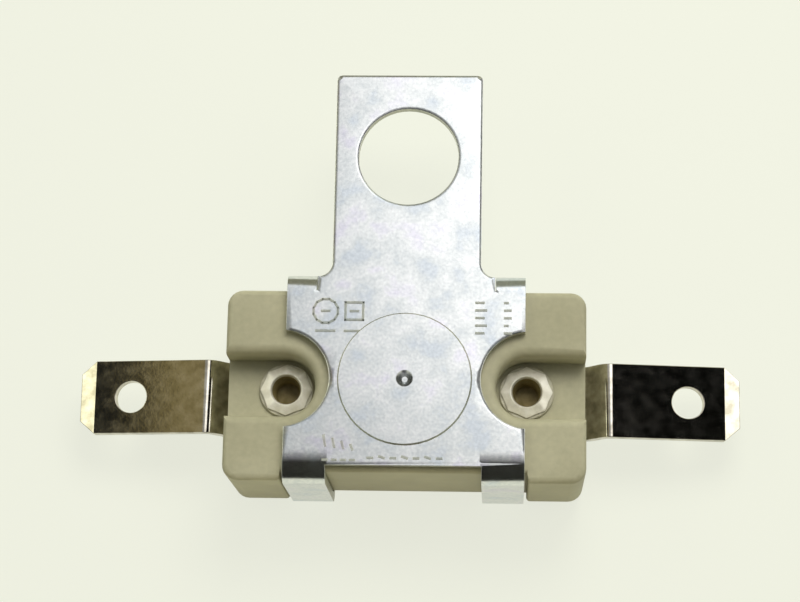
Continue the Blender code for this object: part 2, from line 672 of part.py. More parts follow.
def make_washer(name, side, material):
    low = SLOT_FLOOR + SEAT
    high = low + WASHER_THICKNESS
    bore = RIVET_SHANK_RADIUS + PASS
    profile = [
        (bore, low),
        (WASHER_RADIUS - WASHER_EDGE, low),
        (WASHER_RADIUS, low + WASHER_EDGE),
        (WASHER_RADIUS, high - WASHER_EDGE),
        (WASHER_RADIUS - WASHER_EDGE, high),
        (bore, high),
    ]
    return turned(name, profile, SMALL_ROUND_STEPS, (side * RIVET_X, 0.0), None, material)


def make_disc(material):
    """The snap disc, domed towards the boss as it is when cold."""
    shares = [i / DISC_RINGS for i in range(DISC_RINGS + 1)]
    under = [(DISC_RADIUS * s, DISC_RIM_BACK + DISC_DOME * (1 - s * s)) for s in shares]
    upper = [(radius, z + DISC_THICKNESS) for radius, z in reversed(under)]
    return turned("bimetal_disc", under + upper, INNER_ROUND_STEPS, (0.0, BRACKET_Y), None, material)


def make_pin(material):
    """The transfer pin, modelled about its own rear end and set in the housing's bore."""
    profile = cylinder_profile(PIN_RADIUS, 0.0, PIN_FRONT - PIN_BACK, PIN_EDGE)
    pin = turned("transfer_pin", profile, INNER_ROUND_STEPS, (0.0, 0.0), None, material)
    pin.location = (0.0, BRACKET_Y, PIN_BACK)
    return pin


def make_contact(name, back, material):
    """A contact button, modelled about its own rear face and set at the blade's free end."""
    profile = cylinder_profile(CONTACT_RADIUS, 0.0, CONTACT_THICKNESS, CONTACT_EDGE)
    contact = turned(name, profile, INNER_ROUND_STEPS, (0.0, 0.0), None, material)
    contact.location = (CONTACT_X, 0.0, back)
    return contact


def main():
    clear_scene()
    steatite = finish_material("glazed steatite", (0.42, 0.40, 0.26), 0.0, 0.5)
    plated_sheet = finish_material("zinc plated sheet", (0.80, 0.81, 0.82), 1.0, 0.3)
    nickel = finish_material("nickel plated strip", (0.60, 0.58, 0.52), 1.0, 0.22)
    rivet_metal = finish_material("nickel plated rivet", (0.68, 0.65, 0.58), 1.0, 0.3)
    bimetal = finish_material("bimetal", (0.55, 0.53, 0.50), 1.0, 0.35)
    spring = finish_material("beryllium copper", (0.72, 0.48, 0.26), 1.0, 0.3)
    silver = finish_material("silver", (0.85, 0.84, 0.81), 1.0, 0.25)
    pin_ceramic = finish_material("alumina", (0.80, 0.79, 0.74), 0.0, 0.5)
    mica = finish_material("pressed mica", (0.48, 0.44, 0.33), 0.0, 0.45)

    pieces = [
        make_housing(steatite),
        make_rear_cover(mica),
        make_bracket(plated_sheet),
        make_terminal("terminal_left", -1, LEFT_STRIP_END_X, nickel),
        make_terminal("terminal_right", 1, RIGHT_STRIP_END_X, nickel),
        make_rivet("rivet_left", -1, BLADE_ROOT_BACK, rivet_metal),
        make_rivet("rivet_right", 1, STRIP_BACK, rivet_metal),
        make_washer("washer_left", -1, rivet_metal),
        make_washer("washer_right", 1, rivet_metal),
        make_disc(bimetal),
        make_pin(pin_ceramic),
        make_blade(spring),
        make_contact("moving_contact", MOVING_CONTACT_BACK, silver),
        make_contact("fixed_contact", FIXED_CONTACT_BACK, silver),
    ]
    frame = bpy.data.objects.new("part_frame", None)
    bpy.context.scene.collection.objects.link(frame)
    guides = [item for item in bpy.data.objects if item.hide_render]
    for item in pieces + guides:
        item.parent = frame
    frame.location = (0.0, -FOOTPRINT_Y, 0.0)


main()
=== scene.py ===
import math

import bmesh
import bpy
from mathutils import Matrix, Vector


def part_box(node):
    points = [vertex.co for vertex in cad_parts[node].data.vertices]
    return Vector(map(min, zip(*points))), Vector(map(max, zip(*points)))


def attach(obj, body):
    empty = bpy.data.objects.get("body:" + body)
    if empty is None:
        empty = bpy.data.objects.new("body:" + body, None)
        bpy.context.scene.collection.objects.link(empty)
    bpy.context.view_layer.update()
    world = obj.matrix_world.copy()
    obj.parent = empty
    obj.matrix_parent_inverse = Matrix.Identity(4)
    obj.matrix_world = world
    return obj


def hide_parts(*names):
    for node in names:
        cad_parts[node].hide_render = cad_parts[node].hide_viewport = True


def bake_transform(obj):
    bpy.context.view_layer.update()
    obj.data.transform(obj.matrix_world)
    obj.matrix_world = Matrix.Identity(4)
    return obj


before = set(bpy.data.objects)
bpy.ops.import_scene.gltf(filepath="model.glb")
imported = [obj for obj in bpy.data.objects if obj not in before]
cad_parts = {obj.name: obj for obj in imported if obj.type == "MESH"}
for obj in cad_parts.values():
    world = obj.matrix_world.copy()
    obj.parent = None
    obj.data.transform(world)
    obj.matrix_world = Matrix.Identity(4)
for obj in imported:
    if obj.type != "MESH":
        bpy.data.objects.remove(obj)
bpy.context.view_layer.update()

MM = 0.001

# Places closer than this are the same corner, and heights closer than this are the same height
WELD = 0.001 * MM
LEVEL_ROOM = 0.002 * MM

# Places that the marks and finishes are set out from
RIVET_LINE_Y = (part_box("rivet_left")[0].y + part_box("rivet_left")[1].y) / 2
RIVET_X = (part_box("rivet_right")[0].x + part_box("rivet_right")[1].x) / 2
RIVET_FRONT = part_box("rivet_right")[1].z
TAB_TIP_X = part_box("terminal_right")[1].x
BOSS_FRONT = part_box("bracket")[1].z

# The bracket's sheet, and its boss: how far it stands out, how far above the rivets' line its middle is,
# how far out from there its step ends, and how much of the step's height is its two rounds
SHEET = 0.8 * MM
BOSS_HEIGHT = 0.2 * MM
BOSS_RISE = 0.375 * MM
BOSS_REACH = 5.9 * MM
BOSS_ROUND = 0.01 * MM
PLATE_FRONT = BOSS_FRONT - BOSS_HEIGHT
PLATE_BACK = PLATE_FRONT - SHEET
BOSS_MIDDLE = Vector((0.0, RIVET_LINE_Y + BOSS_RISE, PLATE_FRONT))

# The flat of the sheet: how far it goes below and above the rivets' line where it has bends, where the
# bends start out from the middle, and the small round along its edges
FLAT_BOTTOM = -6.85 * MM
FLAT_TOP = 8.1 * MM
SHOULDER_START = 7.3 * MM
LEG_START = 6.3 * MM
EDGE_ROUND = 0.04 * MM

# How far a face's normal points to the front where the face is flat, nearly flat, upright or turned back,
# and how far it points sideways where the face is a side
FLAT = 0.999
NEARLY_FLAT = 0.9
UPRIGHT = 0.3
TURNED_BACK = -0.5
SIDEWAYS = 0.7

# Lengths on the tabs and rivets that a finish stops at
TAB_TIP_LENGTH = 1.35 * MM
BORE_RADIUS = 1.3 * MM
BORE_START = 0.3 * MM

# The shallow rounding that the punch leaves round the front of the flat sheet
DIE_ROLL_WIDTH = 0.24 * MM
DIE_ROLL_DEPTH = 0.06 * MM

# Shading of the front of the sheet, which tips down above its bottom bends and along the edge between them:
# how far up it goes, how much it is, and in how many rows the sheet is cut for it. Below the flat it goes
# on over the part of a bend that still faces the front, down to a depth.
BOW_REACH = 1.3 * MM
BOW_LEAN = 0.26
BOW_ROWS = 4
BOW_DEPTH = 0.2 * MM
EDGE_REACH = 0.3 * MM
EDGE_LEAN = 0.2

# Coined marks: how wide a stroke is at its foot and at its crest, and how high it stands
MARK_FOOT = 0.27 * MM
MARK_CREST = 0.12 * MM
MARK_HEIGHT = 0.02 * MM

# Places of the coined marks, in millimetres from the middle and the rivets' line. There are two outlines
# with a bar inside and a bar below, each given by its place and its number of sides, two columns of bars,
# a row of falling strokes over small dashes, and a row of dashes.
OUTLINES = ((-6.7, 12), (-4.3, 4))
OUTLINE_LEVEL = 6.1
OUTLINE_RADIUS = 1.05
INNER_BAR = 0.3
LOWER_BAR = 0.75
LOWER_BAR_LEVEL = 4.4
COLUMN_LEVEL = 4.3
COLUMN_STEP = 0.65
COLUMN_BARS = 5
INNER_COLUMN = 5.9
INNER_COLUMN_END = 6.5
INNER_COLUMN_MORE = 0.2
OUTER_COLUMN = 8.3
OUTER_COLUMN_END = 8.75
OUTER_COLUMN_LESS = 0.25
FALL_START = -6.6
FALL_STEP = 0.75
FALL_STROKES = 4
FALL_TOP = -4.5
FALL_TOP_STEP = 0.25
FALL_FOOT = -5.3
FALL_FOOT_STEP = 0.1
FALL_SLANT = 0.15
SMALL_DASH = 0.3
SMALL_DASH_LEVEL = -6.5
DASH_START = -2.9
DASH_STEP = 0.95
DASH = 0.35
DASH_LEVEL = -6.3
DASH_TILT = 0.12
DASHES = 7

# Where the spring blade starts to bend, past its rivet, and where it is straight again, under its button,
# with the cuts across it that let it bend
BLADE_CLAMPED = 2.1 * MM
BLADE_ROOT = (BLADE_CLAMPED - RIVET_X, RIVET_LINE_Y, 0.0)
BLADE_TIP = (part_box("moving_contact")[0].x, RIVET_LINE_Y, 0.0)
BLADE_STEPS = 24

# Camera: how it hangs over the part, its lens, and how near and how far it sees
CAMERA_TILT = 13.45
CAMERA_PAN = 2.77
CAMERA_ROLL = 1.13
CAMERA_DISTANCE = 190.0 * MM
CAMERA_TARGET = Vector((-0.54 * MM, RIVET_LINE_Y + 7.21 * MM, 11.46 * MM))
CAMERA_LENS = 101.71
CAMERA_SENSOR = 36.0
CAMERA_NEAR = 0.01
CAMERA_FAR = 5.0

# In degrees: faces that meet at more than this angle keep a crisp edge, and the rest are shaded round
CRISP_ANGLE = 35

# In degrees: faces of the sheet that meet at less than this angle are one flat
FLAT_ANGLE = 1

# A crease that is farther out than any piece reaches
NO_CREASE = 1.0

# Light: how strong the world is, and its two near blacks. Then, as the northward part of a direction, how
# far on both sides of overhead the dark strip fades, and where the front and the back begin.
WORLD_STRENGTH = 2.0
STRIP_DARK = "0C0B08"
ROOM_DARK = "12110C"
STRIP_FADE = 0.3
FRONT_FROM, FRONT_TO = -0.2, -0.08
BACK_FROM, BACK_TO = 0.44, 0.56

# Floor: how far it reaches, how far under the part it lies, and how much of it glows for the camera and for
# what mirrors it
FLOOR_REACH = 0.6
FLOOR_DROP = 0.02 * MM
FLOOR_SEEN = 0.82
FLOOR_MIRRORED = 0.64


def linear(hex_colour):
    """An sRGB colour such as B0AE88 as the linear colour that a shader takes."""
    channels = [int(hex_colour[i:i + 2], 16) / 255 for i in (0, 2, 4)]
    straight = [c / 12.92 if c <= 0.04045 else ((c + 0.055) / 1.055) ** 2.4 for c in channels]
    return (*straight, 1.0)


def per_mm(size):
    """The scale of a pattern whose features are this many millimetres across."""
    return 1 / (size * MM)


def add(tree, kind, inputs=None, stops=None, **settings):
    """Adds a node. Each input is set to a value, or linked where the value is another node's output.

    stops are the places and sRGB colours of a colour ramp.
    """
    made = tree.nodes.new(kind)
    for name, value in settings.items():
        setattr(made, name, value)
    for name, value in (inputs or {}).items():
        if isinstance(value, bpy.types.NodeSocket):
            tree.links.new(value, made.inputs[name])
        else:
            made.inputs[name].default_value = value
    for index, (place, colour) in enumerate(stops or ()):
        elements = made.color_ramp.elements
        stop = elements[index] if index < 2 else elements.new(place)
        stop.position = place
        stop.color = linear(colour)
    return made


def new_material(name):
    """A named material. Returns it with its tree, its shader and the object coordinates."""
    material = bpy.data.materials.new(name)
    material.use_nodes = True
    tree = material.node_tree
    shader = tree.nodes["Principled BSDF"]
    place = add(tree, "ShaderNodeTexCoord").outputs["Object"]
    return material, tree, shader, place


# Camera


def make_camera():
    data = bpy.data.cameras.new("camera")
    data.lens = CAMERA_LENS
    data.sensor_width = CAMERA_SENSOR
    data.sensor_fit = "HORIZONTAL"
    data.clip_start = CAMERA_NEAR
    data.clip_end = CAMERA_FAR
    camera = bpy.data.objects.new("camera", data)
    bpy.context.scene.collection.objects.link(camera)
    turn = (
        Matrix.Rotation(math.radians(CAMERA_PAN), 4, "Y")
        @ Matrix.Rotation(math.radians(CAMERA_TILT), 4, "X")
        @ Matrix.Rotation(math.radians(CAMERA_ROLL), 4, "Z")
    )
    place = CAMERA_TARGET + turn.to_3x3() @ Vector((0, 0, CAMERA_DISTANCE))
    camera.matrix_world = Matrix.Translation(place) @ turn
    bpy.context.scene.camera = camera


make_camera()


# Fired steatite: pressed from powder and fired, so it is satin, faintly mottled and finely pitted. The pits
# are drawn coarser than they are, so that they show.


def steatite_finish():
    material, tree, shader, place = new_material("fired steatite")
    clouds = add(tree, "ShaderNodeTexNoise", {"Vector": place, "Scale": per_mm(5.0), "Detail": 4.0})
    grain = add(tree, "ShaderNodeTexNoise", {"Vector": place, "Scale": per_mm(0.5), "Detail": 5.0})
    body = add(
        tree, "ShaderNodeValToRGB", {"Fac": clouds.outputs["Fac"]},
        stops=((0.3, "A9A68C"), (0.7, "B9B69C"), (0.5, "B1AE94")),
    )
    fine = add(tree, "ShaderNodeMapRange", {"Value": grain.outputs["Fac"], 1: 0.3, 2: 0.7, 3: 0.93, 4: 1.04})
    toned = add(
        tree, "ShaderNodeMix", {0: 1.0, 6: body.outputs["Color"], 7: fine.outputs[0]},
        data_type="RGBA", blend_type="MULTIPLY",
    )
    tree.links.new(toned.outputs[2], shader.inputs["Base Color"])
    gloss = add(tree, "ShaderNodeMapRange", {"Value": grain.outputs["Fac"], 1: 0.3, 2: 0.7, 3: 0.5, 4: 0.62})
    tree.links.new(gloss.outputs[0], shader.inputs["Roughness"])
    relief = add(
        tree, "ShaderNodeBump", {"Height": grain.outputs["Fac"], "Strength": 0.2, "Distance": 0.03 * MM}
    )
    tree.links.new(relief.outputs["Normal"], shader.inputs["Normal"])
    shader.inputs["IOR"].default_value = 1.55
    return material


# Zinc plated sheet: bright, with a fine frosted mottle, drawn coarse enough to show, and faint bluish and
# violet passivation


def zinc_finish(name, dark, light, roughness, metallic=1.0):
    material, tree, shader, place = new_material(name)
    shader.inputs["Metallic"].default_value = metallic
    mottle = add(tree, "ShaderNodeTexNoise", {"Vector": place, "Scale": per_mm(0.26), "Detail": 3.0})
    patches = add(tree, "ShaderNodeTexNoise", {"Vector": place, "Scale": per_mm(2.6), "Detail": 4.0})
    tone = add(
        tree, "ShaderNodeValToRGB", {"Fac": mottle.outputs["Fac"]}, stops=((0.25, dark), (0.75, light))
    )
    tint = add(
        tree, "ShaderNodeValToRGB", {"Fac": patches.outputs["Fac"]},
        stops=((0.34, "EAEFF3"), (0.68, "F1EDF4"), (0.44, "F1F3F1"), (0.56, "F9F9F6")),
    )
    tinted = add(
        tree, "ShaderNodeMix", {0: 1.0, 6: tone.outputs["Color"], 7: tint.outputs["Color"]},
        data_type="RGBA", blend_type="MULTIPLY",
    )
    tree.links.new(tinted.outputs[2], shader.inputs["Base Color"])
    gloss = add(
        tree, "ShaderNodeMapRange",
        {"Value": patches.outputs["Fac"], 1: 0.35, 2: 0.65, 3: roughness + 0.05, 4: roughness},
    )
    tree.links.new(gloss.outputs[0], shader.inputs["Roughness"])
    relief = add(
        tree, "ShaderNodeBump", {"Height": mottle.outputs["Fac"], "Strength": 0.12, "Distance": 0.012 * MM}
    )
    tree.links.new(relief.outputs["Normal"], shader.inputs["Normal"])
    return material


# Nickel plated strip: rolled, so it mirrors its surroundings, with a faint tarnish


def nickel_finish(name, dark, light, roughness, metallic=1.0):
    material, tree, shader, place = new_material(name)
    shader.inputs["Metallic"].default_value = metallic
    haze = add(tree, "ShaderNodeTexNoise", {"Vector": place, "Scale": per_mm(0.9), "Detail": 6.0})
    speck = add(tree, "ShaderNodeTexNoise", {"Vector": place, "Scale": per_mm(0.25), "Detail": 3.0})
    tone = add(
        tree, "ShaderNodeValToRGB", {"Fac": haze.outputs["Fac"]}, stops=((0.35, dark), (0.65, light))
    )
    tree.links.new(tone.outputs["Color"], shader.inputs["Base Color"])
    gloss = add(
        tree, "ShaderNodeMapRange",
        {"Value": haze.outputs["Fac"], 1: 0.35, 2: 0.7, 3: roughness, 4: roughness + 0.04},
    )
    tree.links.new(gloss.outputs[0], shader.inputs["Roughness"])
    relief = add(
        tree, "ShaderNodeBump", {"Height": speck.outputs["Fac"], "Strength": 0.15, "Distance": 0.01 * MM}
    )
    tree.links.new(relief.outputs["Normal"], shader.inputs["Normal"])
    return material


# Inside of the rivets: dull brown oxide that the plating never reached, drawn darker and duller than it is
# as painted shade of the deep bore


def bore_oxide_and_shade_finish():
    material, tree, shader, place = new_material("oxidised bore and painted shade")
    stain = add(tree, "ShaderNodeTexNoise", {"Vector": place, "Scale": per_mm(0.6), "Detail": 4.0})
    tone = add(
        tree, "ShaderNodeValToRGB", {"Fac": stain.outputs["Fac"]}, stops=((0.35, "7C7049"), (0.65, "948760"))
    )
    tree.links.new(tone.outputs["Color"], shader.inputs["Base Color"])
    shader.inputs["Roughness"].default_value = 0.6
    return material


# Pressed mica: golden grey flakes bonded into a board


def mica_finish():
    material, tree, shader, place = new_material("pressed mica")
    flakes = add(tree, "ShaderNodeTexVoronoi", {"Vector": place, "Scale": per_mm(0.9)})
    tone = add(
        tree, "ShaderNodeValToRGB", {"Fac": flakes.outputs["Color"]},
        stops=((0.2, "8C8264"), (0.8, "B3A783"), (0.5, "A29672")),
    )
    tree.links.new(tone.outputs["Color"], shader.inputs["Base Color"])
    gloss = add(tree, "ShaderNodeMapRange", {"Value": flakes.outputs["Color"], 3: 0.3, 4: 0.55})
    tree.links.new(gloss.outputs[0], shader.inputs["Roughness"])
    return material


# Rolled metals of the inner pieces: fine lines along the strip from the mill, drawn coarse enough to show


def rolled_finish(name, dark, light, roughness):
    material, tree, shader, place = new_material(name)
    shader.inputs["Metallic"].default_value = 1.0
    drawn = add(tree, "ShaderNodeMapping", {"Vector": place, "Scale": (0.1, 1.0, 1.0)})
    lines = add(
        tree, "ShaderNodeTexNoise", {"Vector": drawn.outputs["Vector"], "Scale": per_mm(0.3), "Detail": 4.0}
    )
    tone = add(
        tree, "ShaderNodeValToRGB", {"Fac": lines.outputs["Fac"]}, stops=((0.35, dark), (0.65, light))
    )
    tree.links.new(tone.outputs["Color"], shader.inputs["Base Color"])
    gloss = add(
        tree, "ShaderNodeMapRange",
        {"Value": lines.outputs["Fac"], 1: 0.3, 2: 0.7, 3: roughness, 4: roughness + 0.12},
    )
    tree.links.new(gloss.outputs[0], shader.inputs["Roughness"])
    return material


# Alumina: sintered, so it is a matt white ceramic with a fine grain, drawn coarse enough to show


def alumina_finish():
    material, tree, shader, place = new_material("sintered alumina")
    grain = add(tree, "ShaderNodeTexNoise", {"Vector": place, "Scale": per_mm(0.3), "Detail": 4.0})
    tone = add(
        tree, "ShaderNodeValToRGB", {"Fac": grain.outputs["Fac"]}, stops=((0.3, "DCD8CA"), (0.7, "EAE7DC"))
    )
    tree.links.new(tone.outputs["Color"], shader.inputs["Base Color"])
    shader.inputs["Roughness"].default_value = 0.5
    shader.inputs["IOR"].default_value = 1.76
    return material


steatite = steatite_finish()

# Coining and blanking bare and roughen the zinc, so that marks and cut edges are greyer and duller
zinc = zinc_finish("zinc plated sheet", "E0E3E6", "F9FAFB", 0.2)
zinc_marks = zinc_finish("zinc plated coined marks", "C8CAC6", "DEE0DD", 0.46, metallic=0.75)
zinc_edge = zinc_finish("zinc plated blanked edge", "B8B8AC", "D4D3C8", 0.42, metallic=0.75)

# Small pieces are plated loose in a barrel, so that rivets and washers are matt and don't mirror
nickel = nickel_finish("nickel plated strip", "B4AE9E", "E6E0D2", 0.07)
rivet_nickel = nickel_finish("matt nickel plated rivet", "E2DED0", "FBF8EE", 0.32, metallic=0.3)
washer_nickel = nickel_finish("dull nickel plated washer", "B2AE9A", "CCC8B4", 0.4, metallic=0.3)
# Brown oxide for the rivets' bores, drawn darker as painted shade of the deep bores
bore_oxide_and_shade = bore_oxide_and_shade_finish()
mica = mica_finish()

# Bimetal is satin grey, beryllium copper is a reddish gold, and headed silver is the brightest
bimetal = rolled_finish("rolled bimetal", "A8A49C", "C2BEB4", 0.3)
copper_spring = rolled_finish("beryllium copper strip", "BC8C5A", "D2A470", 0.25)
silver = rolled_finish("headed silver", "DAD8D0", "F0EEE8", 0.2)
alumina = alumina_finish()


# The pieces, as model.glb has them, welded and shaded round


def soften(mesh, crease_x, lean):
    """Shades each corner by the faces round it that meet at less than the crisp angle, most by large ones.

    Faces on the two sides of the crease, a distance out along X, aren't blended. lean is a function that
    says how far the shading of a corner tips down the part.
    """
    faces = mesh.polygons
    around = [[] for vertex in mesh.vertices]
    for face in faces:
        for corner in face.vertices:
            around[corner].append(face)
    limit = math.cos(math.radians(CRISP_ANGLE))
    normals = []
    for face in faces:
        beyond = abs(face.center.x) > crease_x
        for corner in face.vertices:
            total = Vector()
            for other in around[corner]:
                if face.normal.dot(other.normal) > limit and (abs(other.center.x) > crease_x) == beyond:
                    total += other.normal * (other.area / MM ** 2) ** 2
            tipped = total.normalized()
            if lean:
                tipped.y -= lean(mesh.vertices[corner].co, face)
            normals.append(tipped.normalized())
    mesh.normals_split_custom_set(normals)


def on_flat(place):
    """Whether a place is in the flat of the bracket's sheet, clear of its four bends and its boss."""
    up = place.y - RIVET_LINE_Y
    out = abs(place.x)
    beside_bends = (up > FLAT_TOP and out > SHOULDER_START) or (up < FLAT_BOTTOM and out > LEG_START)
    return not beside_bends and (place - BOSS_MIDDLE).xy.length > BOSS_REACH


def is_front(normal, place):
    """Whether a face is on the front of the bracket's sheet, or on the flattest part of a bend beside it."""
    return normal.z > NEARLY_FLAT and PLATE_FRONT - BOW_DEPTH < place.z < PLATE_FRONT + LEVEL_ROOM


def roll_edges(bm):
    """Draws the front of the bracket's sheet down along its punched edges."""
    bmesh.ops.dissolve_limit(bm, angle_limit=math.radians(FLAT_ANGLE), verts=bm.verts, edges=bm.edges)
    flat = set()
    for face in bm.faces:
        if face.normal.z > FLAT and abs(face.calc_center_median().z - PLATE_FRONT) < LEVEL_ROOM:
            flat.add(face)
    made = bmesh.ops.inset_region(bm, faces=list(flat), thickness=DIE_ROLL_WIDTH, use_even_offset=True)
    front = flat.union(made["faces"])
    for vertex in bm.verts:
        among = sum(face in front for face in vertex.link_faces)
        beside = PLATE_FRONT - EDGE_ROUND < vertex.co.z < PLATE_FRONT - LEVEL_ROOM
        if (0 < among < len(vertex.link_faces) or beside) and on_flat(vertex.co):
            vertex.co.z -= DIE_ROLL_DEPTH


def cut_above_bends(bm):
    """Cuts the front above the bottom bends into rows, and apart from what is between the bends."""
    top = RIVET_LINE_Y + FLAT_BOTTOM + BOW_REACH
    cuts = [((0.0, top - BOW_REACH * row / BOW_ROWS, 0.0), (0.0, 1.0, 0.0)) for row in range(BOW_ROWS)]
    cuts += [((side * LEG_START, 0.0, 0.0), (1.0, 0.0, 0.0)) for side in (-1, 1)]
    for place, across in cuts:
        near = set()
        for face in bm.faces:
            low = min(vertex.co.y for vertex in face.verts) < top - WELD
            if low and is_front(face.normal, face.calc_center_median()):
                near.update((face, *face.verts, *face.edges))
        bmesh.ops.bisect_plane(bm, geom=list(near), plane_co=place, plane_no=across)


def shape_sheet(bm):
    """What the press leaves on the bracket's sheet, with the cuts that its shading needs."""
    roll_edges(bm)
    cut_above_bends(bm)
    bmesh.ops.triangulate(bm, faces=bm.faces)


def lean_to_bends(place, face):
    """How far the sheet's front leans down near its bottom bends and its bottom edge."""
    if not is_front(face.normal, face.center):
        return 0.0
    away = abs(place.y - RIVET_LINE_Y - FLAT_BOTTOM)
    reach, most = (BOW_REACH, BOW_LEAN) if abs(face.center.x) > LEG_START else (EDGE_REACH, EDGE_LEAN)
    return most * max(0.0, 1 - away / reach) ** 2


def cut_across(bm):
    """Cuts the spring blade across at even steps, so that it can bend."""
    for step in range(BLADE_STEPS + 1):
        place = Vector(BLADE_ROOT).lerp(Vector(BLADE_TIP), step / BLADE_STEPS)
        everything = bm.verts[:] + bm.edges[:] + bm.faces[:]
        bmesh.ops.bisect_plane(bm, geom=everything, plane_co=place, plane_no=(1.0, 0.0, 0.0))


def dress(
    name, cad_node, body, finish,
    second=None, is_second=None, crease_x=NO_CREASE, shape=None, lean=None, bends_to=None,
):
    """The CAD node's own shape as a welded, smooth mesh with its real finish.

    second is the finish of the faces that is_second picks. shape works on the mesh first, and lean tips its
    shading. When bends_to is given, the piece is left unattached, with its place baked into its mesh.
    """
    bm = bmesh.new()
    bm.from_mesh(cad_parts[cad_node].data)
    bmesh.ops.remove_doubles(bm, verts=bm.verts, dist=WELD)
    if shape:
        shape(bm)
    mesh = bpy.data.meshes.new(name)
    bm.to_mesh(mesh)
    bm.free()
    mesh.materials.append(finish)
    if second:
        mesh.materials.append(second)
        for face in mesh.polygons:
            face.material_index = int(is_second(face))
    mesh.shade_smooth()
    soften(mesh, crease_x, lean)
    piece = bpy.data.objects.new(name, mesh)
    bpy.context.scene.collection.objects.link(piece)
    if bends_to:
        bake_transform(piece)
    else:
        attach(piece, body)
    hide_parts(cad_node)


def add_stroke(bm, x0, y0, x1, y1):
    """A low ridge with sloped sides, from one place on the plate to another in millimetres."""
    start, end = (Vector((x * MM, RIVET_LINE_Y + y * MM, 0)) for x, y in ((x0, y0), (x1, y1)))
    along = (end - start).normalized()
    side = Vector((-along.y, along.x, 0))
    rings = []
    for width, z in ((MARK_FOOT, PLATE_FRONT - MARK_HEIGHT / 2), (MARK_CREST, PLATE_FRONT + MARK_HEIGHT)):
        corners = []
        for place, way in ((start, -1), (end, 1)):
            for turn in (-way, way):
                corner = place + (along * way + side * turn) * width / 2
                corners.append(bm.verts.new((corner.x, corner.y, z)))
        rings.append(corners)
    foot, crest = rings
    bm.faces.new(crest)
    bm.faces.new(reversed(foot))
    for index in range(4):
        after = (index + 1) % 4
        bm.faces.new((foot[index], foot[after], crest[after], crest[index]))


def make_marks():
    """Plain coined marks on the front of the sheet: outlines, bars, strokes and dashes."""
    bm = bmesh.new()
    for x, sides in OUTLINES:
        ring = []
        for index in range(sides + 1):
            angle = 2 * math.pi * (index + 0.5) / sides
            out, up = OUTLINE_RADIUS * math.cos(angle), OUTLINE_RADIUS * math.sin(angle)
            ring.append((x + out, OUTLINE_LEVEL + up))
        for (x0, y0), (x1, y1) in zip(ring, ring[1:]):
            add_stroke(bm, x0, y0, x1, y1)
        add_stroke(bm, x - INNER_BAR, OUTLINE_LEVEL, x + INNER_BAR, OUTLINE_LEVEL)
        add_stroke(bm, x - LOWER_BAR, LOWER_BAR_LEVEL, x + LOWER_BAR, LOWER_BAR_LEVEL)
    for index in range(COLUMN_BARS):
        y = COLUMN_LEVEL + COLUMN_STEP * index
        add_stroke(bm, INNER_COLUMN, y, INNER_COLUMN_END + INNER_COLUMN_MORE * (index % 2), y)
        add_stroke(bm, OUTER_COLUMN, y, OUTER_COLUMN_END - OUTER_COLUMN_LESS * (index % 3 == 1), y)
    for index in range(FALL_STROKES):
        x = FALL_START + FALL_STEP * index
        top, foot = FALL_TOP - FALL_TOP_STEP * index, FALL_FOOT - FALL_FOOT_STEP * index
        add_stroke(bm, x, top, x + FALL_SLANT, foot)
        add_stroke(bm, x, SMALL_DASH_LEVEL, x + SMALL_DASH, SMALL_DASH_LEVEL)
    for index in range(DASHES):
        x = DASH_START + DASH_STEP * index
        add_stroke(bm, x, DASH_LEVEL + DASH_TILT * (index % 2), x + DASH, DASH_LEVEL)
    mesh = bpy.data.meshes.new("coined_marks")
    bm.to_mesh(mesh)
    bm.free()
    mesh.materials.append(zinc_marks)
    piece = bpy.data.objects.new("coined_marks", mesh)
    bpy.context.scene.collection.objects.link(piece)
    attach(piece, "base")


def is_blanked(face):
    """Whether a face of the bracket is an edge of the sheet, or the step round its boss."""
    in_sheet = face.center.z > PLATE_BACK or abs(face.normal.x) > SIDEWAYS
    upright = abs(face.normal.z) < UPRIGHT and in_sheet
    height = face.center.z - PLATE_FRONT
    round_boss = BOSS_ROUND < height < BOSS_HEIGHT - BOSS_ROUND
    return upright or (round_boss and (face.center - BOSS_MIDDLE).xy.length > BOSS_REACH / 2)


def is_bore(face):
    """Whether a face of a rivet lies down its bore."""
    out = math.hypot(abs(face.center.x) - RIVET_X, face.center.y - RIVET_LINE_Y)
    return out < BORE_RADIUS and face.center.z < RIVET_FRONT - BORE_START and face.normal.z > TURNED_BACK


dress("housing_ceramic", "housing", "base", steatite)
dress(
    "bracket_sheet", "bracket", "base", zinc,
    second=zinc_edge, is_second=is_blanked, shape=shape_sheet, lean=lean_to_bends,
)
dress("rear_cover_board", "rear_cover", "base", mica)
make_marks()
for side in ("left", "right"):
    crease_x = TAB_TIP_X - TAB_TIP_LENGTH
    dress(f"tab_{side}", f"terminal_{side}", "base", nickel, crease_x=crease_x)
    # Each rivet's bore takes the brown oxide finish, which also paints the bore's shade
    dress(f"tubular_rivet_{side}", f"rivet_{side}", "base", rivet_nickel, bore_oxide_and_shade, is_bore)
    dress(f"rivet_washer_{side}", f"washer_{side}", "base", washer_nickel)
dress("snap_disc", "bimetal_disc", "base", bimetal)
dress(
    "spring_blade", "contact_blade", "base", copper_spring, shape=cut_across, bends_to="contact"
)
dress("fixed_button", "fixed_contact", "base", silver)
dress("moving_button", "moving_contact", "contact", silver)
dress("push_pin", "transfer_pin", "pin", alumina)


# World: a bright panel overhead, greyer on its left, with a dark gap on each side of it and a pale panel
# past each gap. A dark strip runs down the front from the panel, and a dull one down the back, with paler
# walls beside each. Only what mirrors sees the front's paler walls, and the camera sees plain paper.


